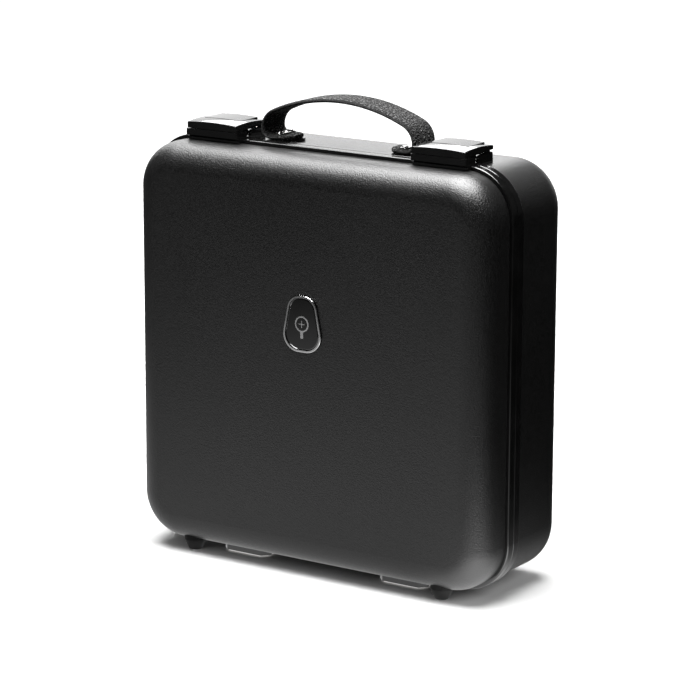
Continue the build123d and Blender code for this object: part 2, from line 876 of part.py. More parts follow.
def lid_pad():
    front = lid_front + wall + liner_clearance + liner_thickness
    pad = slab(pad_inset, front, front + pad_thickness)
    pad = round_front(pad, lid_edge_radius - wall - liner_clearance - liner_thickness)
    return round_back(pad, pad_back_radius)


def tray_body(offset, y_front, y_back):
    form = slab(tray_inset + offset, y_front, y_back)
    return round_back(form, base_edge_radius - wall - liner_thickness - tray_edge_margin)


def lens_tray():
    tray = tray_body(0, tray_front, tray_back)
    tray -= block(-rack_half_length, rack_half_length, tray_front - 1, rack_back,
                  first_row_z - row_pitch / 2, rows_top)
    tray -= block(-rack_half_length, rack_half_length, tray_front - 1, tray_back - tray_wall,
                  bay_bottom, bay_top)
    hollow = tray_body(tray_wall, rack_back + tray_wall, tray_back + base_edge_radius)
    hollow -= block(-half_width, half_width, tray_front, base_depth * 2, bay_bottom - tray_wall, frame_top)
    return tray - hollow


def slot_places():
    """X of every lens slot in a row: two blocks, one each side of the middle."""
    first = block_gap / 2 + slot_pitch / 2
    right = [first + slot * slot_pitch for slot in range(slots_per_block)]
    return [-x for x in reversed(right)] + right


def lens_rack():
    """One row's rack: a round trough with a deeper slot for each lens."""
    half = (row_pitch - rack_joint) / 2
    rack = block(-rack_half_length + rack_joint, rack_half_length - rack_joint,
                 rack_front, rack_back, -half, half)
    for sign in (-1, 1):
        x0, x1 = sorted((sign * block_gap / 2, sign * (block_gap / 2 + block_length)))
        rack -= rod_x(x0, x1, lens_centre_y, 0, lens_radius - trough_step)
    slot = rod_x(-slot_width / 2, slot_width / 2, lens_centre_y, 0, lens_radius + slot_clearance)
    return rack - [Pos(x, 0, 0) * slot for x in slot_places()]


def row_height(row):
    return first_row_z + row * row_pitch


def lens_tab():
    reach = lens_radius + lens_tab_length - lens_tab_width / 2
    half = lens_tab_thickness / 2
    root = lens_rim_width / 2 - lens_radius
    tab = block(-half, half, -reach, root, -lens_tab_width / 2, lens_tab_width / 2)
    return tab + rod_x(-half, half, -reach, 0, lens_tab_width / 2)


def lens_rim():
    half = lens_rim_thickness / 2
    band = rod_x(-half, half, 0, 0, lens_radius) + lens_tab()
    return band - rod_x(-half - 1, half + 1, 0, 0, lens_radius - lens_rim_width)


def lens_glass(thickness):
    return rod_x(-thickness / 2, thickness / 2, 0, 0, lens_radius - lens_rim_width)


def solid_disc():
    half = accessory_thickness / 2
    return rod_x(-half, half, 0, 0, lens_radius) + lens_tab()


def pinhole_disc():
    return solid_disc() - rod_x(-2, 2, 0, 0, pinhole_radius)


def slit_disc():
    return solid_disc() - block(-2, 2, -slit_length / 2, slit_length / 2, -slit_width / 2, slit_width / 2)


def in_rack(piece, row, slot):
    return Pos(slot_places()[slot], lens_centre_y, row_height(row)) * piece


def fill_rows(piece, rows, slots):
    return [in_rack(piece, row, slot) for row in rows for slot in slots]


# ---- write every piece -----------------------------------------------------------------
def write_case():
    save("lid_shell", lid_shell())
    save("base_shell", base_shell())
    save("lid_frame", lid_frame())
    save("base_frame", base_frame())
    save("frame_seal", frame_seal())
    save("badge_rim", badge_rim())
    save("badge_dome", badge_dome())
    save("badge_emblem", *badge_emblem())


def write_handle():
    save("handle_strap", handle_strap())
    save("handle_plates", *handle_plates())
    save("handle_clamps", *handle_clamps())
    save("handle_screws", *handle_screws())


def write_latches():
    makers = {
        "latch_lever": latch_lever,
        "latch_bracket": latch_bracket,
        "latch_keeper": latch_keeper,
        "latch_claw": latch_claw,
        "claw_pin": claw_pin,
        "latch_pivot_pin": latch_pivot_pin,
    }
    for name, make in makers.items():
        left, right = both_sides(make())
        save(f"{name}_left", left)
        save(f"{name}_right", right)
    bracket_rivets = riveted(bracket_rivet_shanks(rivet_radius))
    keeper_rivets = riveted(keeper_rivet_shanks(rivet_radius))
    save("bracket_rivets", *mirrored(bracket_rivets))
    save("keeper_rivets", *mirrored(keeper_rivets))


def write_hinges():
    pin = rod_x(hinge_inner, hinge_outer, hinge_axis_y, hinge_axis_z, hinge_pin_radius)
    lid_block = hinge_block(hinge_front, -seat_clearance, lid_shell_bottom, lid_screw_y())
    base_near = base_frame_back + seat_clearance
    base_block = hinge_block(hinge_back, base_near, base_shell_bottom, base_screw_y())
    save("hinge_leaves_lid", *both_sides(hinge_leaf_lid()))
    save("hinge_leaves_base", *both_sides(hinge_leaf_base()))
    save("hinge_blocks_lid", *both_sides(lid_block))
    save("hinge_blocks_base", *both_sides(base_block))
    save("hinge_pins", *both_sides(pin))
    save("hinge_screws_lid", *mirrored(hinge_screws(lid_screw_y(), lid_shell_bottom)))
    save("hinge_screws_base", *mirrored(hinge_screws(base_screw_y(), base_shell_bottom)))


def write_feet():
    lid_foot = foot(lid_foot_y, lid_body(0, lid_shell_rim), lid_shell_bottom)
    base_foot = foot(base_foot_y, base_body(0, base_shell_rim), base_shell_bottom)
    save("lid_feet", *both_sides(lid_foot))
    save("base_feet", *both_sides(base_foot))
    save("foot_screws_lid", *both_sides(foot_screw(lid_foot_y, lid_shell_bottom)))
    save("foot_screws_base", *both_sides(foot_screw(base_foot_y, base_shell_bottom)))


def write_interior():
    save("lid_liner", lid_liner())
    save("lid_pad", lid_pad())
    save("base_liner", base_liner())
    save("lens_tray", lens_tray())
    rack = lens_rack()
    save("lens_racks", *[Pos(0, 0, row_height(row)) * rack for row in range(row_count)])


def write_lenses():
    all_slots = range(2 * slots_per_block)
    left_block = range(slots_per_block)
    filter_first = slots_per_block + accessory_count
    filter_end = 2 * slots_per_block
    accessory_slots = range(slots_per_block, filter_first)
    rim = lens_rim()
    glass = lens_glass(lens_glass_thickness)
    save("plus_sphere_rims", *fill_rows(rim, (4, 5), all_slots))
    save("plus_sphere_lenses", *fill_rows(glass, (4, 5), all_slots))
    save("minus_sphere_rims", *fill_rows(rim, (2, 3), all_slots))
    save("minus_sphere_lenses", *fill_rows(glass, (2, 3), all_slots))
    save("cylinder_rims", *fill_rows(rim, (1,), all_slots))
    save("cylinder_lenses", *fill_rows(glass, (1,), all_slots))
    save("prism_rims", *fill_rows(rim, (0,), left_block))
    save("prism_lenses", *fill_rows(lens_glass(lens_rim_thickness), (0,), left_block))
    discs = [solid_disc(), pinhole_disc(), slit_disc()]
    save("accessory_discs", *[in_rack(discs[slot % len(discs)], 0, slot) for slot in accessory_slots])
    save("filter_rims", *fill_rows(rim, (0,), range(filter_first, filter_end)))
    save("red_filters", *fill_rows(glass, (0,), range(filter_first, filter_end, 2)))
    save("green_filters", *fill_rows(glass, (0,), range(filter_first + 1, filter_end, 2)))


os.makedirs("parts", exist_ok=True)
write_case()
write_handle()
write_latches()
write_hinges()
write_feet()
write_interior()
write_lenses()
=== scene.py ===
"""Looks of the trial lens set: camera, studio, materials and the pieces that replace plain solids.

Metres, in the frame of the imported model: +Z up, the lid faces -Y.
"""
from math import asin, cos, pi, radians, sin, sqrt

import bmesh
import bpy
from mathutils import Euler, Matrix, Vector, noise


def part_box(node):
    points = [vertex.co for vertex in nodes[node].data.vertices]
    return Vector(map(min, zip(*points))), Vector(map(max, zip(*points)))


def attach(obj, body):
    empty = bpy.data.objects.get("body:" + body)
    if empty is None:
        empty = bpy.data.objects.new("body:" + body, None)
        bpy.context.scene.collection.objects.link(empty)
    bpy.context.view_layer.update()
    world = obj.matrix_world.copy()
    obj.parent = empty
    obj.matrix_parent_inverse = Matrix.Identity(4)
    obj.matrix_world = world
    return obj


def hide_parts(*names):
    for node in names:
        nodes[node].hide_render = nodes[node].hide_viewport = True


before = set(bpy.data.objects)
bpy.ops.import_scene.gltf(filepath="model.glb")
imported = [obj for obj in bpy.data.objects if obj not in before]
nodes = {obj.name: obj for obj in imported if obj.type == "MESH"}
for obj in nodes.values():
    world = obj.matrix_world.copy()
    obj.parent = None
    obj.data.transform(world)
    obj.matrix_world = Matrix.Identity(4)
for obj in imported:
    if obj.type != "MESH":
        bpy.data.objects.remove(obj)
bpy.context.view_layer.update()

MM = 0.001
SAME_PLACE = 0.001 * MM
NEAR = 0.01 * MM
QUILT_PITCH = 42.0 * MM
QUILT_DEPTH = 3.4 * MM
QUILT_CUTS = 6
STITCHES = 12.0


def linear(level):
    """Linear light for a display grey from 0 to 255."""
    share = level / 255
    return share / 12.92 if share <= 0.04045 else ((share + 0.055) / 1.055) ** 2.4


def grey(level, warm=0.0):
    value = linear(level)
    return (value * (1 + warm), value, value * (1 - warm), 1.0)


# ---- camera -----------------------------------------------------------------------
CAMERA_AZIMUTH = radians(33.39)
CAMERA_ELEVATION = radians(13.43)
CAMERA_ROLL = radians(0.22)
CAMERA_DISTANCE = 2.6442
CAMERA_LENS = 158.0
CAMERA_AIM = Vector((0.024, -0.0284, 0.19986))


def add_camera():
    data = bpy.data.cameras.new("camera")
    data.lens = CAMERA_LENS
    data.sensor_width = 36.0
    camera = bpy.data.objects.new("camera", data)
    bpy.context.scene.collection.objects.link(camera)
    away = Vector((
        sin(CAMERA_AZIMUTH) * cos(CAMERA_ELEVATION),
        -cos(CAMERA_AZIMUTH) * cos(CAMERA_ELEVATION),
        sin(CAMERA_ELEVATION),
    ))
    turn = Euler((pi / 2 - CAMERA_ELEVATION, 0, CAMERA_AZIMUTH)).to_matrix().to_4x4()
    place = Matrix.Translation(CAMERA_AIM + away * CAMERA_DISTANCE)
    camera.matrix_world = place @ turn @ Matrix.Rotation(CAMERA_ROLL, 4, "Z")
    bpy.context.scene.camera = camera


# ---- shader wrapper ------------------------------------------------------------------
class Socket:
    """An output socket that takes part in arithmetic by adding Math nodes."""

    def __init__(self, shader, socket):
        self.shader = shader
        self.socket = socket

    def _math(self, operation, *values):
        return self.shader.node("ShaderNodeMath", {"operation": operation}, dict(enumerate(values)))

    def __add__(self, other):
        return self._math("ADD", self, other)

    def __radd__(self, other):
        return self._math("ADD", other, self)

    def __sub__(self, other):
        return self._math("SUBTRACT", self, other)

    def __rsub__(self, other):
        return self._math("SUBTRACT", other, self)

    def __mul__(self, other):
        return self._math("MULTIPLY", self, other)

    def __rmul__(self, other):
        return self._math("MULTIPLY", other, self)

    def __truediv__(self, other):
        return self._math("DIVIDE", self, other)

    def __abs__(self):
        return self._math("ABSOLUTE", self)


class Shader:
    """One material: node() adds any node, and surface() sets the Principled sockets."""

    def __init__(self, name):
        self.material = bpy.data.materials.new(name)
        self.material.use_nodes = True
        self.tree = self.material.node_tree
        self.tree.nodes.clear()

    def feed(self, target, value):
        if isinstance(value, Socket):
            self.tree.links.new(value.socket, target)
        else:
            target.default_value = value

    def node(self, kind, settings=None, inputs=None, output=0):
        made = self.tree.nodes.new(kind)
        for key, value in (settings or {}).items():
            setattr(made, key, value)
        for key, value in (inputs or {}).items():
            self.feed(made.inputs[key], value)
        return Socket(self, made.outputs[output])

    def place(self, scale=(1, 1, 1)):
        """Object coordinates, squeezed or stretched by scale."""
        coords = self.node("ShaderNodeTexCoord", output="Object")
        if scale == (1, 1, 1):
            return coords
        inputs = {"Vector": coords, "Scale": scale}
        return self.node("ShaderNodeMapping", {"vector_type": "POINT"}, inputs)

    def noise(self, scale, detail=2.0, roughness=0.5, stretch=(1, 1, 1)):
        coords = self.place(stretch)
        inputs = {"Vector": coords, "Scale": scale, "Detail": detail, "Roughness": roughness}
        return self.node("ShaderNodeTexNoise", None, inputs)

    def noise_colour(self, scale):
        """Three noise channels centred on zero, for bending a pattern."""
        inputs = {"Vector": self.place(), "Scale": scale, "Detail": 1.0}
        colour = self.node("ShaderNodeTexNoise", None, inputs, output="Color")
        return self.vector("SUBTRACT", colour, (0.5, 0.5, 0.5))

    def vector(self, operation, *values, output=0, scale=None):
        inputs = dict(enumerate(values))
        if scale is not None:
            inputs["Scale"] = scale
        return self.node("ShaderNodeVectorMath", {"operation": operation}, inputs, output)

    def warped(self, scale, reach):
        """Object coordinates pushed about by noise, by up to half the reach."""
        return self.vector("MULTIPLY_ADD", self.noise_colour(scale), (reach, reach, reach), self.place())

    def cell_walls(self, scale, coords):
        """Distance to the nearest wall between irregular cells."""
        inputs = {"Vector": coords, "Scale": scale}
        return self.node("ShaderNodeTexVoronoi", {"feature": "DISTANCE_TO_EDGE"}, inputs)

    def wrapped(self, value):
        """The fraction of a value, from 0 to 1."""
        return self.node("ShaderNodeMath", {"operation": "FRACT"}, {0: value})

    def seam_line(self, value):
        """1 along every whole number of value, fading to 0 beside it."""
        return self.span(abs(self.wrapped(value + 0.5) - 0.5), 0.008, 0.022, 1.0, 0.0)

    def axis(self, name):
        return self.node("ShaderNodeSeparateXYZ", None, {"Vector": self.place()}, output=name)

    def span(self, value, low, high, to_low=0.0, to_high=1.0):
        inputs = {"Value": value, "From Min": low, "From Max": high, "To Min": to_low, "To Max": to_high}
        return self.node("ShaderNodeMapRange", {"interpolation_type": "SMOOTHSTEP"}, inputs)

    def blend(self, factor, first, second):
        inputs = {0: factor, 6: first, 7: second}
        return self.node("ShaderNodeMix", {"data_type": "RGBA"}, inputs, output=2)

    def bump(self, height, distance, strength):
        inputs = {"Height": height, "Distance": distance, "Strength": strength}
        return self.node("ShaderNodeBump", None, inputs)

    def surface(self, **sockets):
        output = self.tree.nodes.new("ShaderNodeOutputMaterial")
        principled = self.tree.nodes.new("ShaderNodeBsdfPrincipled")
        for key, value in sockets.items():
            self.feed(principled.inputs[key.replace("_", " ")], value)
        self.tree.links.new(principled.outputs[0], output.inputs["Surface"])
        return self.material


# ---- materials --------------------------------------------------------------------------
BLACK = (0.0, 0.0, 0.0, 1.0)
WHITE = (1.0, 1.0, 1.0, 1.0)


def scaled(colour, share):
    return tuple(min(1.0, channel * share) for channel in colour[:3]) + (1.0,)


def case_plastic(name, level):
    """Satin black shell: a fine moulded grain that glitters in the soft highlights."""
    s = Shader(name)
    grain = s.noise(880.0, 2.0, 0.6)
    speck = s.noise(1300.0, 1.0, 0.5)
    cloud = s.noise(9.0, 3.0)
    tone = s.blend(s.span(grain, 0.4, 0.6), grey(level - 4), grey(level + 7))
    rough = s.span(cloud, 0.3, 0.7, 0.35, 0.39) + (grain - 0.5) * 0.2
    height = grain * 0.7 + speck * 0.3
    return s.surface(
        Base_Color=tone,
        Roughness=rough,
        Normal=s.bump(height, 0.0004, 1.0),
        Specular_IOR_Level=0.5,
    )


def gloss_black(name, level, roughness, wear=0.06, shine=0.6, coat=0.35):
    """Polished black moulding with faint polishing haze and a few hairline marks."""
    s = Shader(name)
    haze = s.noise(60.0, 4.0)
    marks = s.noise(420.0, 2.0, 0.6, (0.12, 1, 1))
    rough = s.span(haze, 0.35, 0.75, roughness, roughness + wear) + s.span(marks, 0.62, 0.75, 0.0, 0.08)
    ripple = s.noise(28.0, 1.0)
    return s.surface(
        Base_Color=s.blend(s.span(haze, 0.4, 0.7), grey(level), grey(level + 3)),
        Roughness=rough,
        Normal=s.bump(ripple, 0.0001, 0.08),
        Specular_IOR_Level=shine,
        Coat_Weight=coat,
        Coat_Roughness=0.04,
    )


def metal(name, level, roughness, brushed=(1, 1, 1), warm=0.0, metallic=1.0):
    """Plated metal with fine lines, drawn out where it is brushed, and a few smudges."""
    s = Shader(name)
    lines = s.noise(900.0, 2.0, 0.6, brushed)
    smudge = s.noise(45.0, 3.0)
    rough = s.span(smudge, 0.3, 0.7, roughness, roughness + 0.1) + (lines - 0.5) * 0.12
    return s.surface(
        Base_Color=s.blend(s.span(lines, 0.35, 0.65), grey(level - 12, warm), grey(level, warm)),
        Metallic=metallic,
        Roughness=rough,
        Normal=s.bump(lines, 0.00002, 0.5),
    )


def rubber(name, level):
    """Matt rubber with a dusting in its pores."""
    s = Shader(name)
    grain = s.noise(1400.0, 2.0, 0.6)
    dust = s.noise(120.0, 3.0)
    return s.surface(
        Base_Color=s.blend(s.span(dust, 0.45, 0.8), grey(level), grey(level + 8)),
        Roughness=s.span(dust, 0.3, 0.7, 0.62, 0.8),
        Specular_IOR_Level=0.2,
        Normal=s.bump(grain, 0.00006, 0.6),
    )


def strap_leather(name, strap_low, strap_high):
    """Pebbled leather with smooth painted edges, masked by the distance from the strap's sides."""
    s = Shader(name)
    middle = (strap_low.y + strap_high.y) / 2
    half = (strap_high.y - strap_low.y) / 2
    edge = s.span(abs(s.axis("Y") - middle), half - 0.0012, half - 0.0005)
    pebbles = s.cell_walls(340.0, s.warped(260.0, 0.0012))
    domes = s.span(pebbles, 0.0, 0.3)
    creases = s.noise(1500.0, 2.0, 0.6)
    wear = s.noise(60.0, 3.0)
    height = (domes * 0.9 + creases * 0.2) * (1 - edge)
    # Painted shade and highlight: the colour is darker in the creases between the pebbles and lighter on
    # the dome tops.
    tone = s.blend(domes, grey(1, 0.03), grey(11, 0.02))
    tone = s.blend(edge, tone, grey(22))
    rough = s.span(domes, 0.0, 1.0, 0.95, 0.42) + (wear - 0.5) * 0.12
    return s.surface(
        Base_Color=tone,
        Roughness=rough + edge * 0.12,
        Normal=s.bump(height, 0.0018, 1.0),
        Specular_IOR_Level=0.32,
    )


def felt(name, colour):
    """Short pile cloth: tangled fibres, lint and a soft sheen."""
    s = Shader(name)
    fibres = s.noise(1600.0, 3.0, 0.7, (1, 0.35, 1))
    cross = s.noise(1280.0, 3.0, 0.7, (0.35, 1, 1))
    patch = s.noise(22.0, 4.0)
    tone = s.blend(s.span((fibres + cross) / 2, 0.36, 0.62), scaled(colour, 0.55), colour)
    tone = s.blend(s.span(patch, 0.35, 0.75, 0.0, 0.35), tone, scaled(colour, 1.5))
    return s.surface(
        Base_Color=tone,
        Roughness=0.95,
        Normal=s.bump(fibres + cross, 0.00025, 0.8),
        Sheen_Weight=0.5,
        Sheen_Roughness=0.5,
    )


def quilted_cloth(name, middle):
    """Dark woven cloth over foam: fine weave, stitched diamond seams and a little lint."""
    s = Shader(name)
    warp = s.noise(1500.0, 2.0, 0.6, (0.25, 1, 1))
    weft = s.noise(1500.0, 2.0, 0.6, (1, 1, 0.25))
    weave = (warp + weft) / 2
    across = (s.axis("X") - middle.x) / QUILT_PITCH
    up = (s.axis("Z") - middle.z) / QUILT_PITCH
    seam = s.seam_line((across + up) / 2) + s.seam_line((across - up) / 2)
    stitches = s.span(s.wrapped((across - up) * STITCHES), 0.12, 0.2)
    lint = s.noise(26.0, 4.0)
    tone = s.blend(s.span(weave, 0.38, 0.62), (0.010, 0.014, 0.032, 1), (0.032, 0.043, 0.095, 1))
    tone = s.blend(s.span(lint, 0.45, 0.8, 0.0, 0.4), tone, (0.06, 0.075, 0.14, 1))
    tone = s.blend(seam * stitches, tone, (0.09, 0.11, 0.19, 1))
    return s.surface(
        Base_Color=tone,
        Roughness=s.span(lint, 0.3, 0.7, 0.86, 0.95),
        Normal=s.bump(weave * 0.5 - seam * 0.7, 0.0006, 0.8),
        Sheen_Weight=0.4,
        Sheen_Roughness=0.45,
    )


def anodised(name, colour):
    """Turned aluminium rim with a fine lathe grain under the colour."""
    s = Shader(name)
    turning = s.noise(1800.0, 2.0, 0.5, (3, 1, 1))
    smudge = s.noise(70.0, 2.0)
    return s.surface(
        Base_Color=s.blend(s.span(turning, 0.3, 0.7), scaled(colour, 0.7), colour),
        Metallic=1.0,
        Roughness=s.span(smudge, 0.3, 0.7, 0.28, 0.40),
        Normal=s.bump(turning, 0.00002, 0.5),
    )


def optical_glass(name, colour, clear):
    """Ground glass disc: part see-through, part coated reflection."""
    s = Shader(name)
    smear = s.noise(90.0, 3.0)
    return s.surface(
        Base_Color=colour,
        Roughness=s.span(smear, 0.35, 0.75, 0.02, 0.09),
        Alpha=s.span(smear, 0.4, 0.8, clear, clear + 0.06),
        Specular_IOR_Level=0.9,
        Coat_Weight=1.0,
        Coat_Roughness=0.02,
    )


# ---- mesh helpers --------------------------------------------------------------------------
def finish_piece(name, bm, material, body):
    """A smooth mesh piece that rides on a body and takes the given material."""
    bmesh.ops.recalc_face_normals(bm, faces=bm.faces)
    mesh = bpy.data.meshes.new(name)
    bm.to_mesh(mesh)
    bm.free()
    for polygon in mesh.polygons:
        polygon.use_smooth = True
    mesh.materials.append(material)
    piece = bpy.data.objects.new(name, mesh)
    bpy.context.scene.collection.objects.link(piece)
    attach(piece, body)
    return piece


def add_modifier(piece, kind, **settings):
    modifier = piece.modifiers.new(kind.lower(), kind)
    for key, value in settings.items():
        setattr(modifier, key, value)


def flat_edges(bm, level):
    """The edges that lie wholly in the plane y = level."""
    return [e for e in bm.edges if all(abs(v.co.y - level) < SAME_PLACE for v in e.verts)]


def soften(bm, edges, radius, segments):
    bmesh.ops.bevel(
        bm, geom=edges, offset=radius, affect="EDGES", segments=segments, profile=0.5, material=-1
    )


def paint(material, *names):
    """The material takes the place of each CAD node's own."""
    for name in names:
        mesh = nodes[name].data
        mesh.materials.clear()
        mesh.materials.append(material)


# ---- strap ---------------------------------------------------------------------------------
STRAP_THICKNESS = 4.0 * MM
STRAP_DRAWN_THICKNESS = 0.96 * STRAP_THICKNESS
STRAP_EDGE_SHARE = 0.62
STRAP_STRIPS = 10
STRAP_ARCH_RADIUS = 165.0 * MM
STRAP_CURL_RADIUS = 9.0 * MM
STRAP_TAB_END = 50.0 * MM
STRAP_TAB_RADIUS = 14.0 * MM
TAB_STATIONS = 6
TAB_MIDDLE_SHARE = 0.75
CURL_STATIONS = 8
SHOULDER_STATIONS = 9
ARCH_STATIONS = 16


def strap_shoulder(half_span, rise):
    """X, height, radius and slope where the top arch meets the shoulder."""
    ratio = (STRAP_ARCH_RADIUS + STRAP_CURL_RADIUS - rise) / (STRAP_ARCH_RADIUS - half_span)
    x = STRAP_ARCH_RADIUS * (ratio ** 2 - 1) / (ratio ** 2 + 1)
    slope = asin(x / STRAP_ARCH_RADIUS)
    height = rise - STRAP_ARCH_RADIUS * (1 - cos(slope))
    radius = (half_span - x) / (1 - sin(slope))
    return x, height, radius, slope


def strap_stations(low, high):
    """Place and heading of the strap's middle line from one tab end to the top, then mirrored."""
    half_span = high.x
    rise = high.z - low.z
    x, height, radius, slope = strap_shoulder(half_span, rise)
    half_thick = STRAP_THICKNESS / 2
    curl_x = half_span - STRAP_CURL_RADIUS
    right = []
    for step in range(TAB_STATIONS):
        run = STRAP_TAB_RADIUS * (1 - cos(pi / 2 * step / (TAB_STATIONS - 1)))
        right.append((STRAP_TAB_END + run, half_thick, 0.0))
    right.append((STRAP_TAB_END + (curl_x - STRAP_TAB_END) * TAB_MIDDLE_SHARE, half_thick, 0.0))
    for step in range(CURL_STATIONS):
        turn = pi / 2 * step / CURL_STATIONS
        reach = STRAP_CURL_RADIUS - half_thick
        right.append((curl_x + reach * sin(turn), STRAP_CURL_RADIUS - reach * cos(turn), turn))
    centre = (x - radius * sin(slope), height - radius * cos(slope))
    for step in range(SHOULDER_STATIONS):
        turn = (pi / 2 - slope) * step / SHOULDER_STATIONS
        reach = radius - half_thick
        right.append((centre[0] + reach * cos(turn), centre[1] + reach * sin(turn), pi / 2 + turn))
    for step in range(ARCH_STATIONS + 1):
        lean = slope * (1 - step / ARCH_STATIONS)
        reach = STRAP_ARCH_RADIUS - half_thick
        right.append((reach * sin(lean), rise - STRAP_ARCH_RADIUS + reach * cos(lean), pi - lean))
    left = [(-px, pz, 2 * pi - heading) for px, pz, heading in reversed(right[:-1])]
    return right + left


def tab_share(px, half_width):
    """How much of the strap's width is left at px: its ends are rounded off."""
    short = STRAP_TAB_RADIUS - min(STRAP_TAB_RADIUS, abs(px) - STRAP_TAB_END)
    return 1 - (STRAP_TAB_RADIUS - sqrt(STRAP_TAB_RADIUS ** 2 - short ** 2)) / half_width


def make_strap():
    """A rounded strap section carried along the handle's line by extrusion."""
    low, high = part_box("handle_strap")
    width = high.y - low.y
    middle = (low.y + high.y) / 2
    stations = strap_stations(low, high)

    def placed(station, on_tab):
        px, pz, heading = station
        share = tab_share(px, width / 2) if on_tab else 1
        turn = Matrix.Rotation(-heading, 4, "Y")
        return Matrix.Translation((px, middle, low.z + pz)) @ turn @ Matrix.Diagonal((1, share, 1, 1))

    bm = bmesh.new()
    bmesh.ops.create_grid(bm, x_segments=1, y_segments=STRAP_STRIPS, size=0.5)
    bmesh.ops.scale(bm, vec=(STRAP_DRAWN_THICKNESS, width, 1), verts=bm.verts)
    corners = [v for v in bm.verts if abs(abs(v.co.y) - width / 2) < SAME_PLACE]
    bmesh.ops.scale(bm, vec=(STRAP_EDGE_SHARE, 1, 1), verts=corners)
    bmesh.ops.rotate(bm, cent=(0, 0, 0), matrix=Matrix.Rotation(-pi / 2, 3, "Y"), verts=bm.verts)
    rim = [e for e in bm.edges if e.is_boundary]
    last = placed(stations[0], True)
    bmesh.ops.transform(bm, matrix=last, verts=bm.verts)
    for count, station in enumerate(stations[1:], 1):
        made = bmesh.ops.extrude_edge_only(bm, edges=rim)["geom"]
        verts = [v for v in made if isinstance(v, bmesh.types.BMVert)]
        edges = [e for e in made if isinstance(e, bmesh.types.BMEdge)]
        rim = [e for e in edges if e.verts[0] in verts and e.verts[1] in verts]
        here = placed(station, min(count, len(stations) - 1 - count) < TAB_STATIONS)
        bmesh.ops.transform(bm, matrix=here @ last.inverted(), verts=verts)
        last = here
    bmesh.ops.holes_fill(bm, edges=rim, sides=0)
    leather = strap_leather("strap_leather", low, high)
    strap = finish_piece("leather_strap", bm, leather, "base")
    add_modifier(strap, "SUBSURF", levels=2, render_levels=2)
    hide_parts("handle_strap")


# ---- pad and liners --------------------------------------------------------------------------
LINER_THICKNESS = 1.5 * MM
LINER_CORNER = 40.0 * MM
LID_LINER_EDGE = 19.8 * MM
BASE_LINER_EDGE = 18.8 * MM
PAD_CORNER = 32.0 * MM
PAD_EDGE = 19.5 * MM
PAD_BACK_EDGE = 5.0 * MM
SIDE_PULL = 1.6 * MM
CORNER_HOLD = 300
CLOTH_CUT = 14.0 * MM
CLOTH_RIPPLE = 0.25 * MM
CLOTH_WAVES = 38.0
LINER_RIM_RADIUS = 0.5 * MM


def tray_block(low, high, corner, edge_radius, closed_side):
    """A block with round corners and one softly rounded broad face, at closed_side -1 (front) or 1."""
    bm = bmesh.new()
    bmesh.ops.create_cube(bm, size=1.0)
    bmesh.ops.scale(bm, vec=high - low, verts=bm.verts)
    bmesh.ops.translate(bm, vec=(low + high) / 2, verts=bm.verts)
    upright = [e for e in bm.edges if abs(e.verts[0].co.y - e.verts[1].co.y) > edge_radius]
    soften(bm, upright, corner, 8)
    level = high.y if closed_side > 0 else low.y
    soften(bm, flat_edges(bm, level), edge_radius, 6)
    return bm


def cut_grid(bm, low, high, pitch):
    """Cuts the whole form on evenly spaced planes, centred on the middle, along X and Z."""
    for axis in (0, 2):
        count = int((high[axis] - low[axis]) / 2 / pitch)
        middle = (low[axis] + high[axis]) / 2
        normal = Vector((0, 0, 0))
        normal[axis] = 1
        for step in range(-count, count + 1):
            place = Vector((0, 0, 0))
            place[axis] = middle + step * pitch
            geom = list(bm.verts) + list(bm.edges) + list(bm.faces)
            bmesh.ops.bisect_plane(bm, geom=geom, dist=SAME_PLACE, plane_co=place, plane_no=normal)


def make_pad():
    """The lid's foam cushion: flat on the lid, quilted in diamonds towards the lenses."""
    low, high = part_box("lid_pad")
    middle = (low + high) / 2
    bm = tray_block(low, high, PAD_CORNER, PAD_EDGE, -1)
    soften(bm, flat_edges(bm, high.y), PAD_BACK_EDGE, 3)
    cut_grid(bm, low, high, QUILT_PITCH / QUILT_CUTS)
    for vert in bm.verts:
        across = (vert.co.x - middle.x) / QUILT_PITCH
        up = (vert.co.z - middle.z) / QUILT_PITCH
        puff = sqrt(abs(sin(pi * (across + up) / 2) * sin(pi * (across - up) / 2)))
        if vert.co.y > high.y - NEAR:
            vert.co.y -= QUILT_DEPTH * (1 - puff)
        depth = (vert.co.y - low.y) / (high.y - low.y)
        if vert.co.y > low.y + PAD_EDGE / 2:
            pull = SIDE_PULL * sin(pi * depth)
            pull_x = pull * (1 - abs(up) ** 4 / CORNER_HOLD)
            pull_z = pull * (1 - abs(across) ** 4 / CORNER_HOLD)
            vert.co.x -= pull_x * (vert.co.x - middle.x) / (high.x - middle.x)
            vert.co.z -= pull_z * (vert.co.z - middle.z) / (high.z - middle.z)
    pad = finish_piece("quilted_pad", bm, quilted_cloth("pad_cloth", middle), "lid")
    add_modifier(pad, "SUBSURF", levels=1, render_levels=1)
    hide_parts("lid_pad")


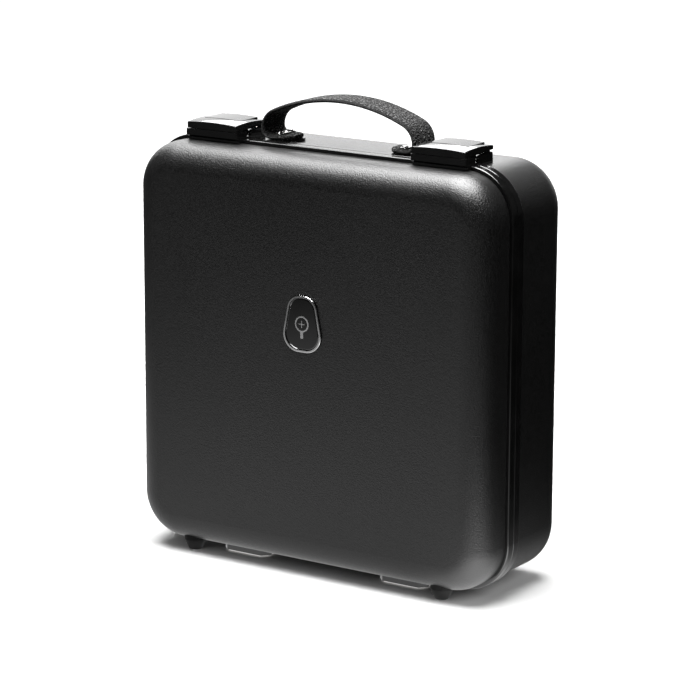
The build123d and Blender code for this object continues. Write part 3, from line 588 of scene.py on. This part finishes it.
def make_liner(name, replaced, edge_radius, closed_side, body, material):
    """A flocked cloth liner: a thin open tray, a little uneven where it is glued to the shell."""
    low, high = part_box(replaced)
    bm = tray_block(low, high, LINER_CORNER, edge_radius, closed_side)
    level = low.y if closed_side > 0 else high.y
    mouth = [f for f in bm.faces if all(abs(v.co.y - level) < SAME_PLACE for v in f.verts)]
    bmesh.ops.delete(bm, geom=mouth, context="FACES")
    cut_grid(bm, low, high, CLOTH_CUT)
    for vert in bm.verts:
        if abs(vert.co.y - level) > CLOTH_RIPPLE:
            wave = noise.noise(vert.co * CLOTH_WAVES)
            inward = ((low + high) / 2 - vert.co).normalized()
            vert.co += inward * CLOTH_RIPPLE * (0.5 + 0.5 * wave)
    liner = finish_piece(name, bm, material, body)
    add_modifier(liner, "SOLIDIFY", thickness=LINER_THICKNESS, offset=-1.0)
    add_modifier(
        liner, "BEVEL", width=LINER_RIM_RADIUS, segments=2, limit_method="ANGLE", angle_limit=radians(50)
    )
    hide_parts(replaced)


# ---- studio ----------------------------------------------------------------------------------
FLOOR_SIZE = 30.0
DOME_RADIUS = 27.0
DOME_GLOW = 1.1
WORLD_GLOW = 0.025
FLOOR_GREY = 172
FLOOR_PALE_FROM = 0.45
FLOOR_PALE_BY = 1.3
BOUNCE_CENTRE = (-0.10, -0.25, 0.0)
BOUNCE_NEAR = 0.1
BOUNCE_FAR = 1.05
BOUNCE_BRIGHT = 1.05
BOUNCE_DIM = 0.06
BEHIND_HEADING = (0.55, 0.83, 0.0)
BEHIND_FROM = -0.05
BEHIND_BY = 0.4
BEHIND_DIM = 0.04
BOUNCE_DROP = -0.002
GLINT_CENTRE = (0.24, -0.09, 0.0)
GLINT_REACH = 0.15
GLINT_BRIGHT = 6.0
SHADE_MIDDLE = 0.075
SHADE_HALF = (0.13, 0.07)
SHADE_FADE = 0.05


def softbox(name, place, aim, size, brightness, reflected=True, lights=True):
    """An area light whose brightness is what a mirror would show of it, where it is reflected."""
    data = bpy.data.lights.new(name, "AREA")
    data.shape = "RECTANGLE"
    data.size = size[0]
    data.size_y = size[1]
    data.energy = brightness * pi * size[0] * size[1]
    lamp = bpy.data.objects.new(name, data)
    bpy.context.scene.collection.objects.link(lamp)
    lamp.visible_glossy = reflected
    lamp.visible_diffuse = lights
    lamp.location = place
    lamp.rotation_euler = (Vector(aim) - Vector(place)).to_track_quat("-Z", "Y").to_euler()


def stage_piece(name, bm, material, camera_sees):
    """A floor or backdrop that only the camera sees, or only light and reflections."""
    mesh = bpy.data.meshes.new(name)
    bm.to_mesh(mesh)
    bm.free()
    mesh.materials.append(material)
    piece = bpy.data.objects.new(name, mesh)
    bpy.context.scene.collection.objects.link(piece)
    piece.visible_camera = camera_sees
    piece.visible_glossy = not camera_sees
    piece.visible_diffuse = not camera_sees
    piece.visible_transmission = camera_sees
    piece.visible_shadow = False


def floor_sheet():
    bm = bmesh.new()
    bmesh.ops.create_grid(bm, x_segments=1, y_segments=1, size=FLOOR_SIZE)
    return bm


def pale_floor():
    """White table lit around the case, and glowing further out so that it stays white."""
    s = Shader("floor_white")
    mottled = s.noise(3.0, 2.0)
    reach = s.vector("LENGTH", s.place(), output="Value")
    glow = s.span(reach, FLOOR_PALE_FROM, FLOOR_PALE_BY)
    return s.surface(
        Base_Color=s.blend(mottled, grey(FLOOR_GREY), grey(FLOOR_GREY + 3)),
        Roughness=s.span(mottled, 0.3, 0.7, 0.78, 0.86),
        Specular_IOR_Level=0.1,
        Emission_Color=s.blend(glow, BLACK, WHITE),
        Emission_Strength=1.0,
    )


def glowing(name, colour, strength):
    """A plain light-giving surface."""
    s = Shader(name)
    output = s.tree.nodes.new("ShaderNodeOutputMaterial")
    glow = s.tree.nodes.new("ShaderNodeEmission")
    s.feed(glow.inputs["Color"], colour(s))
    glow.inputs["Strength"].default_value = strength
    s.tree.links.new(glow.outputs[0], output.inputs["Surface"])
    return s.material


def bounce_light(s):
    """What the case reflects of the table: lit in front of it, dark in the case's own shade behind."""
    middle = s.vector("SUBTRACT", s.place(), BOUNCE_CENTRE)
    reach = s.vector("LENGTH", middle, output="Value")
    behind = s.vector("DOT_PRODUCT", s.place(), BEHIND_HEADING, output="Value")
    near = s.span(reach, BOUNCE_NEAR, BOUNCE_FAR, 1.0, BOUNCE_DIM)
    near = near * s.span(behind, BEHIND_FROM, BEHIND_BY, 1.0, BEHIND_DIM)
    aside = s.vector("LENGTH", s.vector("SUBTRACT", s.place(), GLINT_CENTRE), output="Value")
    glint = s.span(aside, 0.0, GLINT_REACH, GLINT_BRIGHT, 0.0)
    beside = s.span(abs(s.axis("X")), SHADE_HALF[0], SHADE_HALF[0] + SHADE_FADE)
    beyond = s.span(abs(s.axis("Y") - SHADE_MIDDLE), SHADE_HALF[1], SHADE_HALF[1] + SHADE_FADE)
    open_floor = 1 - (1 - beside) * (1 - beyond)
    lit = s.blend(near * open_floor, BLACK, WHITE)
    return s.vector("SCALE", lit, scale=glint + 1.0)


def sky_dome():
    bm = bmesh.new()
    bmesh.ops.create_icosphere(bm, subdivisions=4, radius=DOME_RADIUS)
    stage_piece("backdrop", bm, glowing("backdrop_white", lambda s: WHITE, DOME_GLOW), True)


def add_studio():
    scene = bpy.context.scene
    scene.view_settings.view_transform = "Standard"
    world = bpy.data.worlds.new("studio")
    scene.world = world
    world.use_nodes = True
    background = world.node_tree.nodes["Background"]
    background.inputs["Color"].default_value = WHITE
    background.inputs["Strength"].default_value = WORLD_GLOW
    stage_piece("floor", floor_sheet(), pale_floor(), True)
    bounce = floor_sheet()
    bmesh.ops.translate(bounce, vec=(0, 0, BOUNCE_DROP), verts=bounce.verts)
    stage_piece("floor_bounce", bounce, glowing("floor_bounce", bounce_light, BOUNCE_BRIGHT), False)
    sky_dome()
    case_top = (0.0, 0.0, 0.35)
    softbox("overhead", (-0.1, -0.08, 1.9), (0.0, 0.0, 0.2), (1.6, 1.5), 25)
    softbox("back_left", (-1.2, 1.2, 1.7), case_top, (2.0, 1.7), 4.3, lights=False)
    softbox("rear_panel", (-1.8, 3.4, 1.0), (-0.2, 0, 0.5), (5.0, 1.8), 1.3, lights=False)
    softbox("front_fill", (-0.3, -1.9, 1.6), (0.0, -0.1, 0.0), (2.0, 1.5), 2, reflected=False)
    softbox("right_fill", (1.7, -0.2, 1.1), (0.2, 0.0, 0.0), (1.3, 1.3), 6, reflected=False)


# ---- put together --------------------------------------------------------------------------------
add_camera()
add_studio()
make_strap()

shell = case_plastic("shell_plastic", 7)
paint(shell, "lid_shell", "base_shell")
frame_black = gloss_black("frame_gloss", 5, 0.12, shine=0.45, coat=0.15)
paint(frame_black, "lid_frame", "base_frame")
paint(rubber("seal_rubber", 18), "frame_seal")
paint(metal("badge_metal", 205, 0.12), "badge_rim")
paint(gloss_black("badge_gloss", 5, 0.04, 0.03), "badge_dome")
paint(metal("emblem_metal", 215, 0.2), "badge_emblem")
latch_black = gloss_black("latch_black", 7, 0.05, 0.04)
sides = ("left", "right")
latch_nodes = [f"latch_{part}_{side}" for part in ("lever", "bracket", "keeper") for side in sides]
paint(latch_black, *latch_nodes, "handle_plates", "hinge_blocks_lid", "hinge_blocks_base")
paint(metal("latch_steel", 165, 0.3, (1, 0.1, 1)), "latch_claw_left", "latch_claw_right")
bright = metal("bright_metal", 220, 0.14)
pins = [f"{part}_{side}" for part in ("claw_pin", "latch_pivot_pin") for side in sides]
screws = ["handle_screws", "bracket_rivets", "keeper_rivets", "hinge_screws_lid", "hinge_screws_base"]
paint(bright, "handle_clamps", "hinge_pins", "foot_screws_lid", "foot_screws_base", *pins, *screws)
hinge_steel = metal("hinge_steel", 240, 0.42, (0.08, 1, 1), 0.02, metallic=0.8)
paint(hinge_steel, "hinge_leaves_lid", "hinge_leaves_base")
paint(rubber("foot_rubber", 4), "lid_feet", "base_feet")
liner_felt = felt("liner_felt", (0.02, 0.028, 0.06, 1))
make_liner("lid_lining", "lid_liner", LID_LINER_EDGE, -1, "lid", liner_felt)
make_liner("base_lining", "base_liner", BASE_LINER_EDGE, 1, "base", liner_felt)
make_pad()
paint(felt("tray_flock", (0.016, 0.02, 0.045, 1)), "lens_tray")
paint(gloss_black("rack_black", 16, 0.34, 0.12), "lens_racks")
rim_black = anodised("rim_black", (0.03, 0.03, 0.032, 1))
paint(rim_black, "plus_sphere_rims", "accessory_discs", "filter_rims")
paint(anodised("rim_red", (0.5, 0.03, 0.03, 1)), "minus_sphere_rims")
paint(anodised("rim_silver", (0.72, 0.72, 0.74, 1)), "cylinder_rims", "prism_rims")
clear = optical_glass("lens_glass", (0.75, 0.85, 0.86, 1), 0.16)
paint(clear, "plus_sphere_lenses", "minus_sphere_lenses", "cylinder_lenses", "prism_lenses")
paint(optical_glass("red_glass", (0.7, 0.02, 0.02, 1), 0.7), "red_filters")
paint(optical_glass("green_glass", (0.02, 0.42, 0.1, 1), 0.7), "green_filters")
